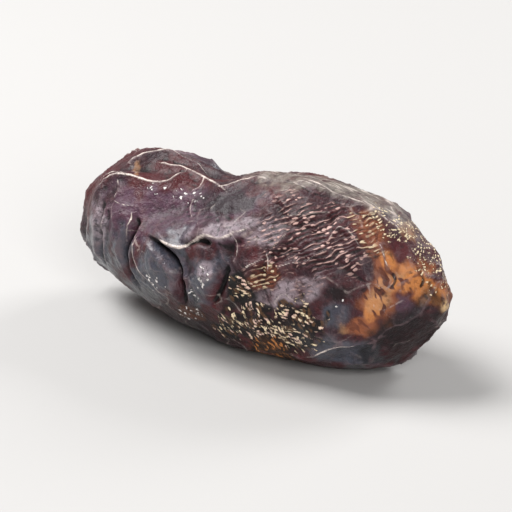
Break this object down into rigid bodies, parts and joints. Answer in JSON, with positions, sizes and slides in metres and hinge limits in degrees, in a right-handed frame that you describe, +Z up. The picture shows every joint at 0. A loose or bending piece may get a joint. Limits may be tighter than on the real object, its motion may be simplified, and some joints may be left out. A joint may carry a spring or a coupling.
{
  "type": "piarom date",
  "caption": "Whole dried date, elongated and dark, with deep leathery folds, a bulging tip half and a round stem pit; lies on its belly.",
  "frame": {"origin": "middle of the date's bounding box, on the surface that it rests on", "axes": "+X along the date from the stem end to the tip; +Z up; +Y towards the back, the way both ends bend"},
  "size_m": [0.0496, 0.0216, 0.0207],
  "materials": {
    "date_skin": "dried date skin, dark plum brown, semi-gloss, with tan fold edges and an amber patch at the tip"
  },
  "bodies": {
    "root": {"date": "date_skin"}
  },
  "joints": []
}
